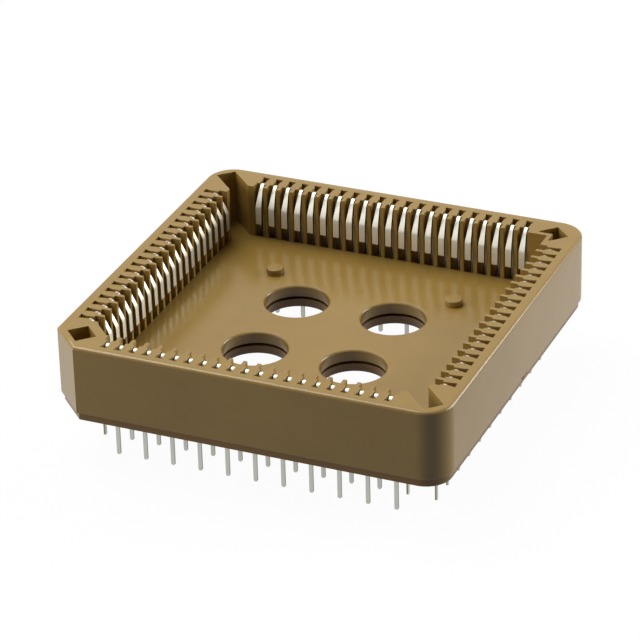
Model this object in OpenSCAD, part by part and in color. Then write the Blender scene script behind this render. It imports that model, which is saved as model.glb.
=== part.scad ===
// Chip-carrier socket: a square moulded housing on a moulded base plate, with 84 sprung
// contacts whose flat tails leave the underside in two staggered rows a side.
// Frame: X runs along the front, Y to the back and Z up. The origin is the middle of the
// board that the socket's four feet stand on, so the tails reach below z = 0.

/* [Contacts] */
// Spacing of the contacts along a side
pitch = 1.27; // [1.2:0.01:1.4]
// Thickness of the contact strip
strip_t = 0.25; // [0.2:0.01:0.3]
// Width of the spring arm from its knee down
arm_w = 0.56; // [0.46:0.02:0.6]
// Length of the tails below the board's face
tail_l = 3.64; // [2.8:0.02:4.2]
// Height of the cut end of the spring arm above the cavity floor
arm_gap = 1.3; // [1:0.05:1.6]

/* [Housing] */
// Height of the housing above the base plate
housing_h = 6.3; // [6:0.1:7.5]
// Thickness of the cavity floor
floor_t = 1.05; // [0.8:0.05:1.3]
// Thickness of the outer wall behind the contact slots
skin_t = 0.93; // [0.7:0.01:1.2]
// Radius of the three rounded corners
corner_r = 2.5; // [2:0.1:3]
// Leg of the bevel on the corner that shows which way round the chip goes
bevel_leg = 2.85; // [2.2:0.05:3.2]
// Radius of the rounding along the top outer edge
edge_r = 0.3; // [0.15:0.05:0.4]
// Diameter of the four holes in the floor
hole_d = 5.75; // [4.5:0.05:7]

/* [Base plate] */
// Thickness of the base plate
plate_t = 0.75; // [0.6:0.05:1]
// How far the base plate's rim stands back from the housing's walls
plate_inset = 0.25; // [0.1:0.05:0.4]
// Height of the feet that keep the base plate off the board
foot_h = 0.6; // [0.3:0.05:0.9]

/* [Hidden] */
// Rows and groups of contacts
half_row = 10;                       // contacts on each side of a side's middle
row_step = 2;                        // each row of tails takes every second contact
outer_places = [for (k = [-half_row:row_step:half_row]) k];
inner_places = [for (k = [1 - half_row:row_step:half_row - 1]) k];
group_size = 2;                      // contacts in one node
function group_count(places) = floor((len(places) - 1) / group_size) + 1;
sides = ["front", "right", "back", "left"];
side_turn = 90;

// Distances from the middle, all hung on the pitch
outer_row = 12 * pitch;
inner_row = 10 * pitch;
rib_inset = 0.24;                    // ribs end this far inside the outer row of tails
wall_offset = 2.72;                  // outer walls stand this far outside the outer row
neck_offset = 0.48;                  // the slots narrow this far outside it
leg_offset = 1.16;                   // and the outer faces of the contacts' legs are here
cavity = outer_row - rib_inset;
body = outer_row + wall_offset;
slot_out = body - skin_t;
neck_in = outer_row + neck_offset;
leg_out = outer_row + leg_offset;

// Heights
plate_top = foot_h + plate_t;
floor_under = plate_top + strip_t;   // the contacts' feet fill this gap
floor_top = floor_under + floor_t;
top = plate_top + housing_h;

// Slots
slot_w = 0.92;
neck_w = 0.45;
neck_lead = 0.06;                    // length of the slanted step down to the neck
head_w = 0.66;
head_l = 0.45;
head_flat = 0.08;                    // straight length at the widest end of the head

// Corners of the housing
key_wall = 1.6;                      // leg of the wall across the bevelled corner's cavity
tool_slot_w = 1.78;
tool_slot_wall = 1.9;                // left between a tool slot and the corner's square point
core_w = 2.05;
core_inset = 0.44;                   // a core hole's inner end lies this far inside the outer row
core_at = (outer_row - core_inset) * sqrt(2);
core_l = 1.85;
core_wall = 0.4;                     // wall left between the cavity's corner and a core hole
mark_w = 0.8;
mark_t = 0.12;
mark_in = 0.5;                       // depth over which the mark is rooted in the wall
notch_w = 1.2;
notch_up = 0.15;                     // the pry notch's height in the housing
notch_down = 0.4;                    // and its depth in the base plate
notch_in = 1;
notch_y = 1;
hole_at = 3.6 * pitch;
hole_rim = 0.12;

// Rivets that hold the plate to the housing
rivet_at = [6.73, 7.01] * pitch;
rivet_d = 1.1;
rivet_play = 0.05;
rivet_head_d = 1.55;
rivet_head_h = 0.57;
rivet_head_r = 0.1;
pad_d = 3.2;

// Feet
foot_inset = 4;
foot_at = body - foot_inset;
foot_d = 2;

// Contacts
leg_w = 0.4;
bend_w = 0.3;
bend_r = 0.225;                      // radius of the bend's middle line
bend_below_top = 0.15;
// Middle line of the spring arm below the bend, as [distance out, depth below the top]
shoulder_out = 0.37;                 // outside the outer row of tails
knee_inset = 0.3;                    // inside it
end_inset = 0.33;
shoulder = [outer_row + shoulder_out, 0.6];
knee = [outer_row - knee_inset, 2];
end_out = outer_row - end_inset;     // middle line of the strip at the arm's cut end
foot_w = 0.5;
foot_straight = 0.5;                 // straight ends of an inner contact's slanted foot
tail_w = 0.42;
tail_tip = 0.3;                      // length over which the tip rounds off
tail_play = 0.04;

eps = 0.01;
over = 1;                            // cuts run this far past the faces
through_floor = strip_t + floor_t + 2 * over;

function outer_name(side, g) = str("outer_contacts_", sides[side], "_", g + 1);
function inner_name(side, g) = str("inner_contacts_", sides[side], "_", g + 1);

// ---- Flat strip helpers ----

function unit(v) = v / norm(v);
function left_of(v) = [-v[1], v[0]];

// Sideways vector at point i of a path, long enough to keep the strip's thickness in a bend
function side_vector(path, i) =
    let (last = len(path) - 1,
         before = left_of(unit(path[max(i, 1)] - path[max(i, 1) - 1])),
         after = left_of(unit(path[min(i, last - 1) + 1] - path[min(i, last - 1)])),
         middle = unit(before + after))
    middle / (middle * before);

// Outline of a strip of thickness t along a path
module strip(path, t) {
    last = len(path) - 1;
    polygon(concat(
        [for (i = [0:last]) path[i] + side_vector(path, i) * t / 2],
        [for (i = [last:-1:0]) path[i] - side_vector(path, i) * t / 2]
    ));
}

// ---- Outlines of the mouldings ----

// Square with three rounded corners and a bevel at the front left, drawn in by `inset`
module body_outline(inset) {
    h = body - inset;
    r = corner_r - inset;
    difference() {
        union() {
            square([2 * (h - r), 2 * h], center = true);
            square([2 * h, 2 * (h - r)], center = true);
            for (x = [-1, 1], y = [-1, 1]) translate([x * (h - r), y * (h - r)]) circle(r, $fn = 48);
            translate([-h, -h]) square(r + eps);
        }
        // bevelled corner: the cut stays parallel to itself as the outline is drawn in
        translate([-h, -h]) rotate(45)
            square((bevel_leg - (2 - sqrt(2)) * inset) * sqrt(2), center = true);
    }
}

// One contact slot, running out along +Y from the cavity to the outer wall
module slot_outline() {
    polygon([
        [-slot_w / 2, cavity - over], [slot_w / 2, cavity - over], [slot_w / 2, neck_in],
        [neck_w / 2, neck_in + neck_lead], [neck_w / 2, slot_out - head_l],
        [head_w / 2, slot_out - head_flat], [head_w / 2, slot_out],
        [-head_w / 2, slot_out], [-head_w / 2, slot_out - head_flat],
        [-neck_w / 2, slot_out - head_l], [-neck_w / 2, neck_in + neck_lead], [-slot_w / 2, neck_in]
    ]);
}

module around_sides() {
    for (side = [0:3]) rotate(side * side_turn) children();
}

module slots_outline() {
    around_sides()
        for (k = [-half_row:half_row]) translate([k * pitch, 0]) mirror([0, 1]) slot_outline();
}

// Cavity with a slanted wall across the bevelled corner
module cavity_outline() {
    difference() {
        square(2 * cavity, center = true);
        translate([-cavity, -cavity]) rotate(45) square(2 * key_wall / sqrt(2), center = true);
    }
}

// Slots in two corners that let a tool reach under the chip
module tool_slots_outline() {
    for (turn = [-45, 135]) rotate(turn)
        translate([0, -tool_slot_w / 2]) square([body * sqrt(2) - tool_slot_wall, tool_slot_w]);
}

module core_outline() {
    translate([core_at, -core_w / 2]) square([core_l, core_w]);
}

// Core holes behind the other two corners
module cores_outline() {
    rotate(225) core_outline();
    // a wall is left round the cavity's square corner at the back right
    difference() {
        rotate(45) core_outline();
        square(2 * (cavity + core_wall), center = true);
    }
}

// Repeats what it is given in each quarter, at [x, y] from the middle
module in_quarters(at) {
    for (x = [-1, 1], y = [-1, 1]) translate([x * at[0], y * at[1]]) children();
}

module at_holes() { in_quarters([hole_at, hole_at]) children(); }
module at_rivets() { in_quarters(rivet_at) children(); }

// ---- Housing ----

// Cuts the round along the top outer edge; the profile's corner lies on the edge
module edge_profile() {
    difference() {
        translate([-edge_r, -edge_r]) square(edge_r + 1);
        translate([-edge_r, -edge_r]) circle(edge_r, $fn = 32);
    }
}

module straight_edge(length) {
    rotate([90, 0, 0]) linear_extrude(length, center = true) edge_profile();
}

module edge_round() {
    straight = 2 * (body - corner_r);
    translate([0, 0, top]) {
        around_sides() translate([body, 0, 0]) straight_edge(straight);
        for (turn = [0, 90, 270]) rotate(turn) translate([body - corner_r, body - corner_r, 0])
            rotate_extrude(angle = 90, $fn = 48) translate([corner_r, 0]) edge_profile();
        rotate(225) translate([body * sqrt(2) - bevel_leg / sqrt(2), 0, 0]) straight_edge(2 * bevel_leg);
    }
}

module housing() {
    color("#A8916A") difference() {
        union() {
            // skirt and walls
            translate([0, 0, plate_top]) linear_extrude(housing_h) difference() {
                body_outline(0);
                cavity_outline();
                slots_outline();
            }
            // floor
            translate([0, 0, plate_top]) linear_extrude(floor_top - plate_top) cavity_outline();
            // mark beside the first contact
            translate([-body - mark_t, -mark_w / 2, plate_top])
                cube([mark_t + mark_in, mark_w, housing_h - edge_r]);
        }
        // room under the floor for the contacts' feet, with pads left round the rivets
        translate([0, 0, plate_top - over]) linear_extrude(over + strip_t) difference() {
            body_outline(skin_t);
            at_rivets() circle(d = pad_d, $fn = 32);
        }
        at_holes() {
            translate([0, 0, plate_top - over]) cylinder(d = hole_d, h = through_floor, $fn = 64);
            translate([0, 0, floor_top - hole_rim])
                cylinder(d1 = hole_d, d2 = hole_d + 4 * hole_rim, h = 2 * hole_rim, $fn = 64);
        }
        at_rivets() translate([0, 0, plate_top - over])
            cylinder(d = rivet_d + 2 * rivet_play, h = through_floor, $fn = 32);
        translate([0, 0, floor_top]) linear_extrude(housing_h) {
            tool_slots_outline();
            cores_outline();
        }
        edge_round();
        pry_notch();
    }
}

// Notch for a blade at the joint between the housing and the plate, in the right wall
module pry_notch() {
    translate([body - notch_in, notch_y - notch_w / 2, plate_top - notch_down])
        cube([2 * notch_in, notch_w, notch_down + notch_up]);
}

// ---- Base plate ----

module tail_holes_outline() {
    hole = [tail_w + 2 * tail_play, strip_t + 2 * tail_play];
    around_sides() {
        for (k = outer_places) translate([k * pitch, -outer_row]) square(hole, center = true);
        for (k = inner_places) translate([(k - 1) * pitch, -inner_row]) square(hole, center = true);
    }
}

// Peg from inside the plate up through the floor, with a flat round-edged head on the floor's top
module rivet() {
    root = foot_h + plate_t / 2;
    edge = rivet_head_d / 2 - rivet_head_r;
    translate([0, 0, root]) cylinder(d = rivet_d, h = floor_top - root, $fn = 32);
    translate([0, 0, floor_top]) rotate_extrude($fn = 32) {
        square([edge, rivet_head_h]);
        square([rivet_head_d / 2, rivet_head_h - rivet_head_r]);
        translate([edge, rivet_head_h - rivet_head_r]) intersection() {
            circle(rivet_head_r, $fn = 32);
            square(rivet_head_r);
        }
    }
}

module base_plate() {
    color("#8C774F") {
        difference() {
            translate([0, 0, foot_h]) linear_extrude(plate_t) difference() {
                body_outline(plate_inset);
                tail_holes_outline();
                at_holes() circle(d = hole_d, $fn = 64);
            }
            pry_notch();
        }
        in_quarters([foot_at, foot_at]) cylinder(d = foot_d, h = foot_h + eps, $fn = 32);
        at_rivets() rivet();
    }
}

// ---- Contacts ----

// Middle line of the strip: up the leg, over the bend, down the arm to the knee and its end
leg_at = leg_out - strip_t / 2;
bend_at = [leg_at - bend_r, top - bend_below_top - strip_t / 2 - bend_r];
function down_from_top(at) = [at[0], top - at[1]];
arm_turn = let (d = down_from_top(shoulder) - bend_at)
    atan2(d[1], d[0]) + 360 - acos(bend_r / norm(d));
arm_start = bend_at + bend_r * [cos(arm_turn), sin(arm_turn)];
bend_steps = 5;
bend_ease = 0.12;
arm_lap = 0.1;                       // length over which the arm and the bend share the strip
leg_path = concat(
    [[leg_at, plate_top + strip_t / 2], [leg_at, bend_at[1]]],
    [for (i = [1:bend_steps]) let (a = i * arm_turn / bend_steps) bend_at + bend_r * [cos(a), sin(a)]],
    [arm_start + arm_lap * unit(down_from_top(shoulder) - arm_start)]
);
arm_end = [end_out, floor_top + arm_gap];
// Two points that ease the corner at b on the way from a to c
function eased(a, b, c) = [b + bend_ease * unit(a - b), b + bend_ease * unit(c - b)];
arm_path = concat(
    [arm_start], eased(arm_start, down_from_top(shoulder), down_from_top(knee)),
    eased(down_from_top(shoulder), down_from_top(knee), arm_end), [arm_end]
);

// Upright strip from a path of [distance out, height], w wide
module upright_strip(path, w) {
    rotate([90, 0, -90]) linear_extrude(w, center = true) strip(path, strip_t);
}

module spring_arm() {
    intersection() {
        upright_strip(arm_path, arm_w);
        // narrow at the bend and full width from the knee down
        rotate([90, 0, 0]) linear_extrude(body) polygon([
            [-arm_w / 2, floor_top], [arm_w / 2, floor_top], [arm_w / 2, top - knee[1]],
            [bend_w / 2, arm_start[1]], [bend_w / 2, top], [-bend_w / 2, top],
            [-bend_w / 2, arm_start[1]], [-arm_w / 2, top - knee[1]]
        ]);
    }
}

// Flat tail with a rounded tip, its middle `out` from the socket's middle
module tail(out) {
    half = tail_w / 2;
    translate([0, -out, 0]) rotate([90, 0, 0]) linear_extrude(strip_t, center = true) polygon([
        [-half, floor_under], [half, floor_under], [half, -tail_l + tail_tip],
        [0.7 * half, -tail_l + 0.3 * tail_tip], [0.3 * half, -tail_l],
        [-0.3 * half, -tail_l], [-0.7 * half, -tail_l + 0.3 * tail_tip], [-half, -tail_l + tail_tip]
    ]);
}

module leg_and_arm() {
    upright_strip(leg_path, bend_w);
    translate([-leg_w / 2, -leg_out, plate_top]) cube([leg_w, strip_t, bend_at[1] - plate_top - 0.3]);
    spring_arm();
}

// Contact of the outer row: its tail drops from the foot just inside the leg
module outer_contact() {
    leg_and_arm();
    translate([-foot_w / 2, -leg_out, plate_top])
        cube([foot_w, leg_out - outer_row + strip_t / 2, strip_t]);
    tail(outer_row);
}

// Contact of the inner row: its foot runs under the floor, inward and one place along
module inner_contact() {
    leg_and_arm();
    translate([0, 0, plate_top]) linear_extrude(strip_t) strip([
        [0, -leg_out], [0, foot_straight - cavity],
        [-pitch, -inner_row - foot_straight], [-pitch, -inner_row + strip_t / 2]
    ], foot_w);
    translate([-pitch, 0, 0]) tail(inner_row);
}

// Sets a contact at each of the places in group g
module at_places(places, g) {
    for (i = [0:len(places) - 1]) if (floor(i / group_size) == g)
        translate([places[i] * pitch, 0, 0]) children();
}

module outer_contacts(side, g) {
    color("#C9CBC6") rotate(side * side_turn) at_places(outer_places, g) outer_contact();
}

module inner_contacts(side, g) {
    color("#C9CBC6") rotate(side * side_turn) at_places(inner_places, g) inner_contact();
}

housing();
base_plate();
for (side = [0:3], g = [0:group_count(outer_places) - 1])
    outer_contacts(side, g);
for (side = [0:3], g = [0:group_count(inner_places) - 1])
    inner_contacts(side, g);
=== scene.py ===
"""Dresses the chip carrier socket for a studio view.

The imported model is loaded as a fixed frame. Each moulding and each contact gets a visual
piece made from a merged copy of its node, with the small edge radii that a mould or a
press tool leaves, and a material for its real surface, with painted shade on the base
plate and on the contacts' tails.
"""

import logging
import math
from dataclasses import dataclass, field
from enum import Enum
from typing import Any, Iterable

import bmesh
import bpy
from mathutils import Matrix, Vector


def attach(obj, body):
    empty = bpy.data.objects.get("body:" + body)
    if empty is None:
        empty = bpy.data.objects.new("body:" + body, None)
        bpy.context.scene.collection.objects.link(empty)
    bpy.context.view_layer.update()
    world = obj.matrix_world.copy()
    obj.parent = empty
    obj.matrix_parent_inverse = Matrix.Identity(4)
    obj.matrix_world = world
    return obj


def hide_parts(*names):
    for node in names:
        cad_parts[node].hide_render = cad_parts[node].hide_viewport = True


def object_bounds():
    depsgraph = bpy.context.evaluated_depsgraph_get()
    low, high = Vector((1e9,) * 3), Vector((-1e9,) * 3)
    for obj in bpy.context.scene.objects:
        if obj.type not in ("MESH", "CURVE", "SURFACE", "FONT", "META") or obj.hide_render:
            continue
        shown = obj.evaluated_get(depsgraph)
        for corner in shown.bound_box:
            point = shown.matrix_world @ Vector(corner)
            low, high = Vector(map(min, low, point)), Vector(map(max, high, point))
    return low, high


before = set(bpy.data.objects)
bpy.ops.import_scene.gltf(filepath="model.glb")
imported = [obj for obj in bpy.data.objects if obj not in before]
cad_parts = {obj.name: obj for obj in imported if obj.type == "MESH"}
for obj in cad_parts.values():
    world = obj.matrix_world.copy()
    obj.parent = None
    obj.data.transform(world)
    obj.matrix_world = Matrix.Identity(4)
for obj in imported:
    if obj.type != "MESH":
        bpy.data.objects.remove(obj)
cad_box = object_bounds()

LOG = logging.getLogger("socket")
MM = 0.001
BODY = "root"
WHITE = (1.0, 1.0, 1.0, 1.0)
NOISE_LOW, NOISE_HIGH = 0.3, 0.7      # most values of a noise pattern lie between these
FLECK_LOW, FLECK_HIGH = 0.6, 0.78     # only the pattern's peaks show as flecks


class Side(Enum):
    """The four walls that carry contacts."""

    FRONT = "front"
    RIGHT = "right"
    BACK = "back"
    LEFT = "left"

    @property
    def axes(self) -> tuple[int, int]:
        """Numbers of the axis along this wall and of the axis out through it."""
        return (0, 1) if self in (Side.FRONT, Side.BACK) else (1, 0)


class Row(Enum):
    """The two staggered rows of tails, with the number of nodes that each has a side."""

    OUTER = ("outer_contacts", 6)
    INNER = ("inner_contacts", 5)

    def node_names(self, side: Side) -> list[str]:
        """Names of this row's nodes along one side."""
        stem, groups = self.value
        return [f"{stem}_{side.value}_{number + 1}" for number in range(groups)]


def linear(hex_colour: str) -> tuple[float, float, float, float]:
    """Turns an sRGB hex colour into the linear values that shaders read.

    Args:
        hex_colour: six hex digits, without a leading mark.

    Returns:
        Linear red, green, blue and an alpha of 1.
    """
    channels = (int(hex_colour[i:i + 2], 16) / 255 for i in (0, 2, 4))
    # the standard sRGB curve, with its straight part near black
    red, green, blue = (c / 12.92 if c <= 0.04045 else ((c + 0.055) / 1.055) ** 2.4
                        for c in channels)
    return red, green, blue, 1.0


def per_size(size_mm: float) -> float:
    """Scale of a noise pattern whose features are this many millimetres wide."""
    return 1 / (size_mm * MM)


class NodeGraph:
    """A material's or world's node tree, filled one node at a time."""

    def __init__(self, owner: Any) -> None:
        """Empties the owner's tree.

        Args:
            owner: the material or world whose nodes are made.
        """
        owner.use_nodes = True
        self.tree = owner.node_tree
        self.tree.nodes.clear()

    def add(self, kind: str, settings: dict[str, Any] | None = None, **inputs: Any) -> Any:
        """Adds one node, sets it up and links it.

        Args:
            kind: the node's type name.
            settings: attributes of the node, such as its operation.
            inputs: socket names, with _ for a space, each with a value or another node's output.
                A name such as in_1 means the socket with that number.

        Returns:
            The new node.
        """
        node = self.tree.nodes.new(kind)
        for name, value in (settings or {}).items():
            setattr(node, name, value)
        for name, value in inputs.items():
            key = int(name[3:]) if name.startswith("in_") else name.replace("_", " ")
            socket = node.inputs[key]
            if isinstance(value, bpy.types.NodeSocket):
                self.tree.links.new(value, socket)
            else:
                socket.default_value = value
        return node


@dataclass(frozen=True)
class MouldedPlastic:
    """Glass-filled thermoplastic out of a polished mould: tan, semi-gloss or satin, mottled."""

    name: str
    colour: str
    pale: str
    dark: str
    roughness: float
    mottle_mm: float = 5.0
    fibre_mm: float = 0.16
    fleck_strength: float = 0.2
    streak_mm: float = 0.9
    streak_squeeze: float = 0.08      # height counts this much, so the lines stand upright
    gloss_spread: float = 0.015
    grain_mm: float = 0.22
    grain_depth_mm: float = 0.0015
    grain_strength: float = 0.25
    ior: float = 1.4

    def build(self) -> bpy.types.Material:
        """Makes the material.

        Returns:
            The new material.
        """
        material = bpy.data.materials.new(self.name)
        graph = NodeGraph(material)
        place = graph.add("ShaderNodeTexCoord").outputs["Object"]
        # slow change of shade where the melt flowed round the holes
        mottle = graph.add("ShaderNodeTexNoise", Vector=place, Scale=per_size(self.mottle_mm),
                           Detail=3.0)
        shade = graph.add("ShaderNodeMapRange", Value=mottle.outputs["Fac"],
                          From_Min=NOISE_LOW, From_Max=NOISE_HIGH)
        body = graph.add("ShaderNodeMix", {"data_type": "RGBA"}, Factor=shade.outputs["Result"],
                         in_6=linear(self.dark), in_7=linear(self.pale))
        # filler fibres just under the skin show as faint pale flecks. Real ones are about 0.01 mm
        # thick, too fine to show, so they are drawn as coarse as they need to be
        fibre = graph.add("ShaderNodeTexNoise", Vector=place, Scale=per_size(self.fibre_mm),
                          Detail=2.0)
        fleck = graph.add("ShaderNodeMapRange", Value=fibre.outputs["Fac"],
                          From_Min=FLECK_LOW, From_Max=FLECK_HIGH, To_Max=self.fleck_strength)
        tint = graph.add("ShaderNodeMix", {"data_type": "RGBA"}, Factor=fleck.outputs["Result"],
                         in_6=body.outputs["Result"], in_7=linear(self.colour))
        # polishing lines run the way the mould opens
        upright = graph.add("ShaderNodeMapping", Vector=place,
                            Scale=(1.0, 1.0, self.streak_squeeze))
        streak = graph.add("ShaderNodeTexNoise", Vector=upright.outputs["Vector"],
                           Scale=per_size(self.streak_mm), Detail=3.0)
        gloss = graph.add("ShaderNodeMapRange", Value=streak.outputs["Fac"],
                          From_Min=NOISE_LOW, From_Max=NOISE_HIGH,
                          To_Min=self.roughness - self.gloss_spread,
                          To_Max=self.roughness + self.gloss_spread)
        # the skin's slight unevenness, drawn coarser than it is for the same reason
        grain = graph.add("ShaderNodeTexNoise", Vector=place, Scale=per_size(self.grain_mm),
                          Detail=2.0)
        bump = graph.add("ShaderNodeBump", Height=grain.outputs["Fac"],
                         Strength=self.grain_strength, Distance=self.grain_depth_mm * MM)
        skin = graph.add("ShaderNodeBsdfPrincipled", Base_Color=tint.outputs["Result"],
                         Roughness=gloss.outputs["Result"], Normal=bump.outputs["Normal"],
                         IOR=self.ior)
        graph.add("ShaderNodeOutputMaterial", Surface=skin.outputs["BSDF"])
        return material


@dataclass(frozen=True)
class TinPlate:
    """Matt tin over copper alloy strip: bright on the arms, with painted shade greying the tails.
    """

    name: str = "Matt tin plate"
    bright: str = "DAD6C8"
    tarnish_and_shade_grey: str = "B0B1AB"
    arm_roughness: float = 0.45
    tail_roughness: float = 0.5
    painted_shade_below_mm: float = 0.5
    bright_above_mm: float = 1.5
    tarnish_mm: float = 0.6
    tarnish_share: float = 0.35
    rolling_mm: float = 0.05
    rolling_squeeze: float = 0.05     # height counts this much, so the lines stand upright
    rolling_depth_mm: float = 0.003
    rolling_strength: float = 0.15

    def build(self) -> bpy.types.Material:
        """Makes the material.

        Returns:
            The new material.
        """
        material = bpy.data.materials.new(self.name)
        graph = NodeGraph(material)
        place = graph.add("ShaderNodeTexCoord").outputs["Object"]
        height = graph.add("ShaderNodeSeparateXYZ", Vector=place).outputs["Z"]
        # painted shade: the tails below the plate are a darker grey than the arms above it
        low = graph.add("ShaderNodeMapRange", Value=height, From_Min=self.painted_shade_below_mm * MM,
                        From_Max=self.bright_above_mm * MM, To_Min=1.0, To_Max=0.0)
        tarnish = graph.add("ShaderNodeTexNoise", Vector=place, Scale=per_size(self.tarnish_mm),
                            Detail=4.0)
        # random tarnish is added to the tails' painted shade, and also shows on the arms
        tarnish_and_painted_shade = graph.add("ShaderNodeMath", {"operation": "MULTIPLY_ADD", "use_clamp": True},
                         in_0=tarnish.outputs["Fac"], in_1=self.tarnish_share,
                         in_2=low.outputs["Result"])
        plate = graph.add("ShaderNodeMix", {"data_type": "RGBA"}, Factor=tarnish_and_painted_shade.outputs["Value"],
                          in_6=linear(self.bright), in_7=linear(self.tarnish_and_shade_grey))
        # rolling lines run along the strip, which stands upright
        along = graph.add("ShaderNodeMapping", Vector=place,
                          Scale=(1.0, 1.0, self.rolling_squeeze))
        rolling = graph.add("ShaderNodeTexNoise", Vector=along.outputs["Vector"],
                            Scale=per_size(self.rolling_mm), Detail=2.0)
        gloss = graph.add("ShaderNodeMapRange", Value=tarnish_and_painted_shade.outputs["Value"],
                          To_Min=self.arm_roughness, To_Max=self.tail_roughness)
        bump = graph.add("ShaderNodeBump", Height=rolling.outputs["Fac"],
                         Strength=self.rolling_strength, Distance=self.rolling_depth_mm * MM)
        metal = graph.add("ShaderNodeBsdfPrincipled", Base_Color=plate.outputs["Result"],
                          Metallic=1.0, Roughness=gloss.outputs["Result"],
                          Normal=bump.outputs["Normal"])
        graph.add("ShaderNodeOutputMaterial", Surface=metal.outputs["BSDF"])
        return material


@dataclass(frozen=True)
class ShearedBronze:
    """Bare phosphor bronze where the die sheared the plated strip: dark, brown grey and dull."""

    name: str = "Sheared bronze edge"
    colour: str = "8C8767"
    burnt: str = "6F6A4C"
    roughness: float = 0.45
    shear_mm: float = 0.08

    def build(self) -> bpy.types.Material:
        """Makes the material.

        Returns:
            The new material.
        """
        material = bpy.data.materials.new(self.name)
        graph = NodeGraph(material)
        place = graph.add("ShaderNodeTexCoord").outputs["Object"]
        # the die's marks in the metal, drawn a little coarser than real ones so that they show
        shear = graph.add("ShaderNodeTexNoise", Vector=place, Scale=per_size(self.shear_mm),
                          Detail=2.0)
        tone = graph.add("ShaderNodeMix", {"data_type": "RGBA"}, Factor=shear.outputs["Fac"],
                         in_6=linear(self.colour), in_7=linear(self.burnt))
        metal = graph.add("ShaderNodeBsdfPrincipled", Base_Color=tone.outputs["Result"],
                          Metallic=1.0, Roughness=self.roughness)
        graph.add("ShaderNodeOutputMaterial", Surface=metal.outputs["BSDF"])
        return material


@dataclass
class EdgeFinish:
    """Small edge radii given to a merged copy of a node."""

    radius_mm: float
    segments: int = 2
    min_angle: float = math.radians(30)       # flatter edges stay unrounded and shade smooth
    step_angle: float = math.radians(50)      # the same for the steps of a rounding
    flat_angle: float = math.radians(0.5)     # faces within this are one flat
    merge_mm: float = 0.0005

    def merged(self, node: str) -> bmesh.types.BMesh:
        """Makes a merged copy of a node's mesh, with one face to each flat.

        Args:
            node: the node that is copied.

        Returns:
            The new mesh.
        """
        mesh = bmesh.new()
        mesh.from_mesh(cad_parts[node].data)
        bmesh.ops.remove_doubles(mesh, verts=mesh.verts, dist=self.merge_mm * MM)
        bmesh.ops.dissolve_limit(mesh, angle_limit=self.flat_angle, verts=mesh.verts,
                                 edges=mesh.edges)
        return mesh

    def piece_from(self, mesh: bmesh.types.BMesh, name: str) -> bpy.types.Object:
        """Rounds a mesh's outer edges and makes a piece of it.

        Args:
            mesh: the mesh, which is used up.
            name: the new piece's name.

        Returns:
            The new piece, at the origin.
        """
        sharp = [edge for edge in mesh.edges
                 if edge.is_manifold and edge.calc_face_angle_signed() > self.min_angle]
        rounding = mesh.faces.layers.int.new("rounding")
        made = bmesh.ops.bevel(mesh, geom=sharp, offset=self.radius_mm * MM, segments=self.segments,
                               affect="EDGES", profile=0.5, material=-1, clamp_overlap=True)
        for face in made["faces"]:
            face[rounding] = 1
        bmesh.ops.triangulate(mesh, faces=mesh.faces)
        normals = self.corner_normals(mesh)
        data = bpy.data.meshes.new(name)
        mesh.to_mesh(data)
        mesh.free()
        data.shade_smooth()
        data.normals_split_custom_set(normals)
        piece = bpy.data.objects.new(name, data)
        bpy.context.scene.collection.objects.link(piece)
        return piece

    def corner_normals(self, mesh: bmesh.types.BMesh) -> list[Vector]:
        """Works out shading normals that keep flat faces flat and let only the radii turn.

        Args:
            mesh: the triangulated mesh, with its rounding faces marked.

        Returns:
            A normal for each face corner, in the mesh's order.
        """
        rounding = mesh.faces.layers.int["rounding"]
        mesh.normal_update()
        mesh.faces.index_update()
        shaded = {}
        for vert in mesh.verts:
            for fan in self.fans(vert, rounding):
                base = [face for face in fan if not face[rounding]] or fan
                total = Vector()
                for face in base:
                    corner = next(loop for loop in face.loops if loop.vert is vert)
                    total += face.normal * corner.calc_angle()
                for face in fan:
                    shaded[face.index, vert] = total.normalized()
        return [shaded[face.index, vert] for face in mesh.faces for vert in face.verts]

    def fans(self, vert: bmesh.types.BMVert, rounding: Any) -> list[list[bmesh.types.BMFace]]:
        """Groups the faces round a vertex that shade as one surface.

        Args:
            vert: the vertex.
            rounding: the layer that marks rounding faces.

        Returns:
            The groups of faces.
        """
        groups = []
        left = list(vert.link_faces)
        while left:
            group = [left.pop()]
            for face in group:
                for edge in face.edges:
                    if vert in edge.verts and not self.is_crease(edge, rounding):
                        joined = [other for other in edge.link_faces if other in left]
                        group += joined
                        left = [other for other in left if other not in joined]
            groups.append(group)
        return groups

    def is_crease(self, edge: bmesh.types.BMEdge, rounding: Any) -> bool:
        """Tells whether shading breaks at an edge.

        Args:
            edge: the edge between two faces.
            rounding: the layer that marks rounding faces, which may turn more at each step.

        Returns:
            True where the edge shades sharp.
        """
        if not edge.is_manifold:
            return True
        rounded = any(face[rounding] for face in edge.link_faces)
        return edge.calc_face_angle() > (self.step_angle if rounded else self.min_angle)


@dataclass
class Moulding:
    """The housing, or the base plate: painted shade darkens it, but not its peg heads."""

    node: str
    piece_name: str
    finish_and_painted_shade: MouldedPlastic
    heads: MouldedPlastic | None = None
    # faces above this height are the peg heads; those below keep the plate's painted shade
    heads_from_mm: float = 2.7        # just over the cavity floor
    edges: EdgeFinish = field(default_factory=lambda: EdgeFinish(radius_mm=0.04))

    def build(self) -> None:
        """Makes the piece, dresses it and ties it to the frame."""
        piece = self.edges.piece_from(self.edges.merged(self.node), self.piece_name)
        piece.data.materials.clear()
        piece.data.materials.append(self.finish_and_painted_shade.build())
        if self.heads:
            piece.data.materials.append(self.heads.build())
            # the peg heads take the moulding's own colour, the rest of the plate its painted shade
            for face in piece.data.polygons:
                face.material_index = int(face.center.z > self.heads_from_mm * MM)
        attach(piece, BODY)
        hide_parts(self.node)
        LOG.info("%s: %d faces", piece.name, len(piece.data.polygons))


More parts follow.
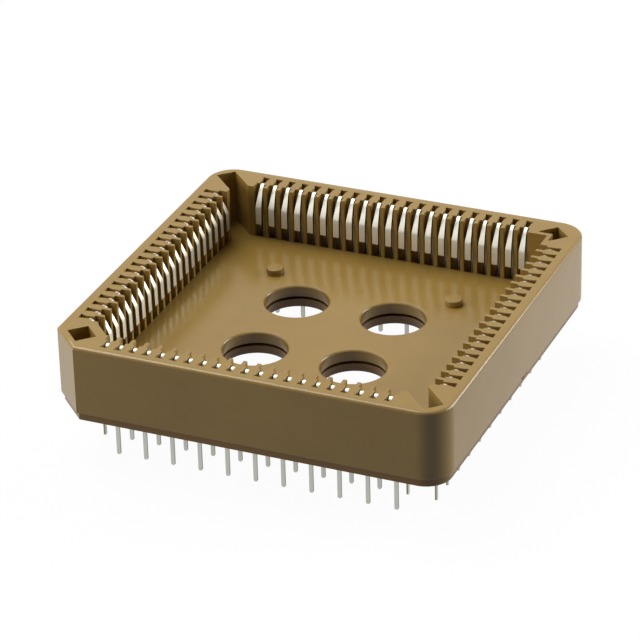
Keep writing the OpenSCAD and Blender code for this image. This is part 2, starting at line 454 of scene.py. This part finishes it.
@dataclass(frozen=True)
class TailForm:
    """Tails coined thinner and narrower than the strip, with a blunt tip."""

    pitch_mm: float = 1.27
    rows_mm: tuple[float, float] = (15.24, 12.7)
    shoulder_mm: float = 0.9
    cut_slack_mm: float = 0.001       # the cut's own points may lie this far over the shoulder
    tip_mm: float = -3.64
    tip_top_mm: float = -3.3
    narrower: float = 0.36 / 0.42
    thinner: float = 0.16 / 0.25
    blunter: float = 0.4

    def press(self, mesh: bmesh.types.BMesh, side: Side) -> None:
        """Draws the tails in about their middle lines, below a shoulder inside the plate.

        Args:
            mesh: the contacts' mesh.
            side: the wall that they stand along.
        """
        along, out = side.axes
        whole = mesh.verts[:] + mesh.edges[:] + mesh.faces[:]
        bmesh.ops.bisect_plane(mesh, geom=whole, plane_co=(0, 0, self.shoulder_mm * MM),
                               plane_no=(0, 0, 1))
        for vert in mesh.verts:
            place = vert.co / MM
            if place.z > self.shoulder_mm + self.cut_slack_mm:
                continue
            middle = round(place[along] / self.pitch_mm) * self.pitch_mm
            row = min(self.rows_mm, key=lambda offset: abs(abs(place[out]) - offset))
            centre = math.copysign(row, place[out])
            place[along] = middle + (place[along] - middle) * self.narrower
            place[out] = centre + (place[out] - centre) * self.thinner
            if place.z < self.tip_top_mm:
                place.z = self.tip_mm + (place.z - self.tip_mm) * self.blunter
            vert.co = place * MM


@dataclass
class ContactSet:
    """All 84 contacts, two to a piece, and one in the last piece of each outer row."""

    plate: TinPlate = field(default_factory=TinPlate)
    cut_edge: ShearedBronze = field(default_factory=ShearedBronze)
    tails: TailForm = field(default_factory=TailForm)
    edges: EdgeFinish = field(default_factory=lambda: EdgeFinish(radius_mm=0.03, segments=1))
    cut_facing: float = 0.95          # faces that point along the wall this much are cut sides

    def build(self) -> None:
        """Makes a piece for each contact node, dresses it and ties it to the frame."""
        materials = [self.plate.build(), self.cut_edge.build()]
        for side in Side:
            for row in Row:
                for node in row.node_names(side):
                    self.build_group(node, side, materials)

    def build_group(self, node: str, side: Side, materials: list[bpy.types.Material]) -> None:
        """Makes one piece of a node's contacts.

        Args:
            node: the contacts' node.
            side: the wall that they stand along.
            materials: the plate on the strip's faces and the bare metal of its cut edges.
        """
        mesh = self.edges.merged(node)
        self.tails.press(mesh, side)
        piece = self.edges.piece_from(mesh, f"{node}_formed")
        piece.data.materials.clear()
        for material in materials:
            piece.data.materials.append(material)
        along, _ = side.axes
        for face in piece.data.polygons:
            face.material_index = int(abs(face.normal[along]) > self.cut_facing)
        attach(piece, BODY)
        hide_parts(node)
        LOG.info("%s: %d faces", piece.name, len(piece.data.polygons))


@dataclass(frozen=True)
class Softbox:
    """One square area light that faces the origin, in metres and watts."""

    name: str
    place: tuple[float, float, float]
    size: float
    power: float

    def build(self) -> None:
        """Adds the light."""
        data = bpy.data.lights.new(self.name, "AREA")
        data.size = self.size
        data.energy = self.power
        light = bpy.data.objects.new(self.name, data)
        light.location = self.place
        light.rotation_euler = (-Vector(self.place)).to_track_quat("-Z", "Y").to_euler()
        bpy.context.scene.collection.objects.link(light)


@dataclass
class Studio:
    """Pale floor, soft lights and the camera."""

    floor_reach: float = 1.2
    floor_colour: str = "F2F2F0"
    floor_bounce: float = 0.05
    floor_white: float = 0.96         # the floor's even share: the rest takes light and shadow
    world_strength: float = 0.04
    lights: tuple[Softbox, ...] = (
        Softbox("Overhead softbox", place=(-0.2, 0.08, 0.39), size=0.34, power=2.05),
        Softbox("Left softbox", place=(-0.37, -0.23, 0.12), size=0.25, power=1.35),
        Softbox("Back right softbox", place=(0.34, 0.264, 0.14), size=0.3, power=2.2),
    )
    camera_place_mm: tuple[float, float, float] = (103.7069, -238.6486, 145.0126)
    camera_right: tuple[float, float, float] = (0.921251, 0.388285, -0.023061)
    camera_down: tuple[float, float, float] = (0.166440, -0.447096, -0.878865)
    camera_forward: tuple[float, float, float] = (-0.351560, 0.805817, -0.476514)
    lens_mm: float = 192.89
    sensor_mm: float = 36.0

    def build(self) -> None:
        """Makes the floor, the lights, the world and the camera."""
        self.make_floor()
        self.make_world()
        for light in self.lights:
            light.build()
        self.make_camera()
        bpy.context.scene.view_settings.view_transform = "Standard"

    def seen_white(self, graph: NodeGraph, lit: Any, white: Any) -> Any:
        """Shows plain white to the camera and to reflections, and the lit surface to diffuse light.

        Args:
            graph: the node tree to add to.
            lit: shader for diffuse light.
            white: shader for camera, glossy and transmission rays.

        Returns:
            The output of the mixed shader.
        """
        path = graph.add("ShaderNodeLightPath").outputs
        mirror = graph.add("ShaderNodeMath", {"operation": "MAXIMUM"},
                           in_0=path["Is Glossy Ray"], in_1=path["Is Transmission Ray"])
        shown = graph.add("ShaderNodeMath", {"operation": "MAXIMUM"},
                          in_0=path["Is Camera Ray"], in_1=mirror.outputs["Value"])
        mixed = graph.add("ShaderNodeMixShader", Fac=shown.outputs["Value"], in_1=lit, in_2=white)
        return mixed.outputs["Shader"]

    def make_floor(self) -> None:
        """Makes the pale floor that the tails stand on."""
        mesh = bmesh.new()
        bmesh.ops.create_grid(mesh, x_segments=8, y_segments=8, size=self.floor_reach)
        bmesh.ops.translate(mesh, verts=mesh.verts, vec=(0, 0, cad_box[0][2]))
        data = bpy.data.meshes.new("Floor")
        mesh.to_mesh(data)
        mesh.free()
        floor = bpy.data.objects.new("Floor", data)
        bpy.context.scene.collection.objects.link(floor)
        material = bpy.data.materials.new("Pale studio card")
        graph = NodeGraph(material)
        card = graph.add("ShaderNodeBsdfDiffuse", Color=linear(self.floor_colour))
        glow = graph.add("ShaderNodeEmission", Color=WHITE, Strength=1.0)
        shadow_kept = graph.add("ShaderNodeMixShader", Fac=self.floor_white,
                                in_1=card.outputs["BSDF"], in_2=glow.outputs["Emission"])
        dim_card = graph.add("ShaderNodeBsdfDiffuse", Color=(self.floor_bounce,) * 3 + (1.0,))
        surface = self.seen_white(graph, dim_card.outputs["BSDF"], shadow_kept.outputs["Shader"])
        graph.add("ShaderNodeOutputMaterial", Surface=surface)
        data.materials.append(material)
        LOG.info("floor at %.2f mm", cad_box[0][2] / MM)

    def make_world(self) -> None:
        """Makes an even pale world that shows white."""
        world = bpy.data.worlds.new("Studio")
        bpy.context.scene.world = world
        graph = NodeGraph(world)
        soft = graph.add("ShaderNodeBackground", Color=WHITE, Strength=self.world_strength)
        white = graph.add("ShaderNodeBackground", Color=WHITE, Strength=1.0)
        surface = self.seen_white(graph, soft.outputs["Background"], white.outputs["Background"])
        graph.add("ShaderNodeOutputWorld", Surface=surface)

    def make_camera(self) -> None:
        """Adds the camera."""
        data = bpy.data.cameras.new("Camera")
        data.lens = self.lens_mm
        data.sensor_width = self.sensor_mm
        data.clip_start = 0.01
        data.clip_end = 10.0
        camera = bpy.data.objects.new("Camera", data)
        axes = Matrix((self.camera_right, -Vector(self.camera_down),
                       -Vector(self.camera_forward))).transposed()
        place = Matrix.Translation(Vector(self.camera_place_mm) * MM)
        camera.matrix_world = place @ axes.to_4x4()
        bpy.context.scene.collection.objects.link(camera)
        bpy.context.scene.camera = camera


def main() -> None:
    """Builds every piece in order."""
    logging.basicConfig(level=logging.INFO, format="%(name)s: %(message)s")
    walls = MouldedPlastic("Semi-gloss tan moulding", colour="9D824D", pale="94773A",
                           dark="8E7136", roughness=0.2)
    # painted shade: the plate is darker than the housing, for the band under the walls and in its
    # holes
    plate = MouldedPlastic("Satin tan moulding with painted shade", colour="82602B", pale="765625",
                           dark="6C4E21", roughness=0.34)
    heads = MouldedPlastic("Hot-formed tan rivet heads", colour="9D824D", pale="96783A",
                           dark="8F7137", roughness=0.26)
    Moulding("housing", "housing_shell", walls).build()
    Moulding("base_plate", "base_moulding", plate, heads).build()
    ContactSet().build()
    Studio().build()


if __name__ == "__main__":
    main()
